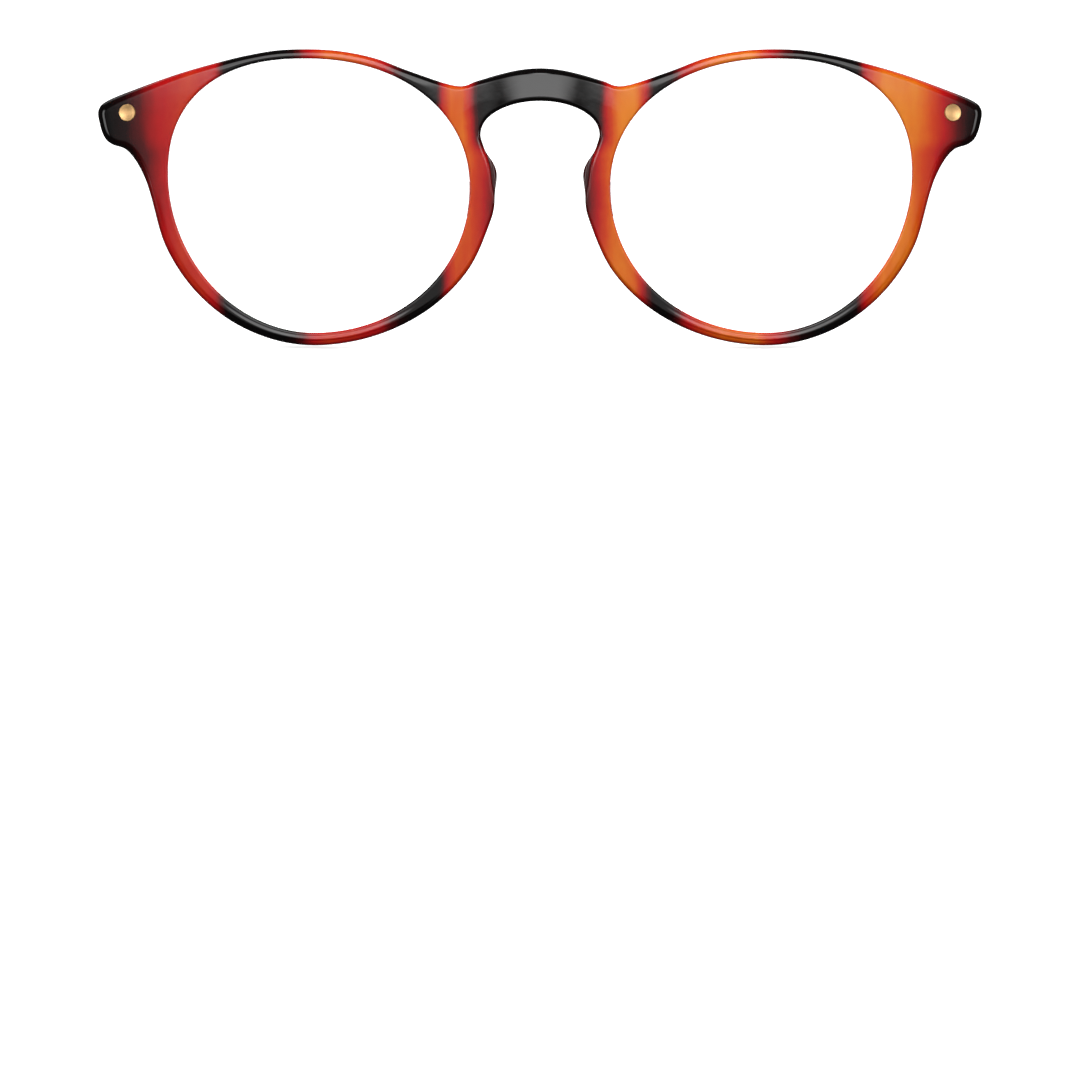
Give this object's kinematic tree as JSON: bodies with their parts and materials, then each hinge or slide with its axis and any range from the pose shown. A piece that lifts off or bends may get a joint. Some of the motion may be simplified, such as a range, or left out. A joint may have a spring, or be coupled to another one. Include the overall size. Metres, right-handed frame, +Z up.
{
  "type": "round reading glasses",
  "caption": "Round tortoiseshell acetate reading glasses with a keyhole bridge, dished rivet dots, riveted barrel hinges and folding wire-core temples.",
  "frame": {"origin": "middle of the footprint, on the surface that the open glasses stand on with their rims and temple tips", "axes": "+Z up, +Y from the face of the front back along the temples, +X to the wearer's left; the front leans back by 9.3 degrees because the open glasses rest on their rims and temple tips"},
  "size_m": [0.1386, 0.1482, 0.0463],
  "materials": {
    "tortoise": "polished cellulose acetate, red, amber and black tortoiseshell bands",
    "tortoise_pad": "polished cellulose acetate, translucent red tortoiseshell",
    "clear_lens": "polished clear lens",
    "gold": "soft polished gold tone",
    "hinge_steel": "tumbled nickel silver tone",
    "core_steel": "drawn wire"
  },
  "bodies": {
    "front": {"front": "tortoise", "left_lens": "clear_lens", "right_lens": "clear_lens", "left_nose_pad": "tortoise_pad", "right_nose_pad": "tortoise_pad", "left_front_rivet": "gold", "right_front_rivet": "gold", "left_front_hinge": "hinge_steel", "right_front_hinge": "hinge_steel", "left_hinge_screw": "hinge_steel", "right_hinge_screw": "hinge_steel"},
    "left_temple": {"left_temple": "tortoise", "left_temple_hinge": "hinge_steel", "left_temple_rivet": "gold", "left_core_wire": "core_steel"},
    "right_temple": {"right_temple": "tortoise", "right_temple_hinge": "hinge_steel", "right_temple_rivet": "gold", "right_core_wire": "core_steel"}
  },
  "joints": [
    {"name": "left_temple_fold", "type": "hinge", "parent": "front", "child": "left_temple", "pos_m": [0.0618, -0.05923, 0.03414], "axis": [0, 0.1619, 0.9868], "range_deg": [0, 90.7]},
    {"name": "right_temple_fold", "type": "hinge", "parent": "front", "child": "right_temple", "pos_m": [-0.0618, -0.05923, 0.03414], "axis": [0, -0.1619, -0.9868], "range_deg": [0, 86.5]}
  ]
}
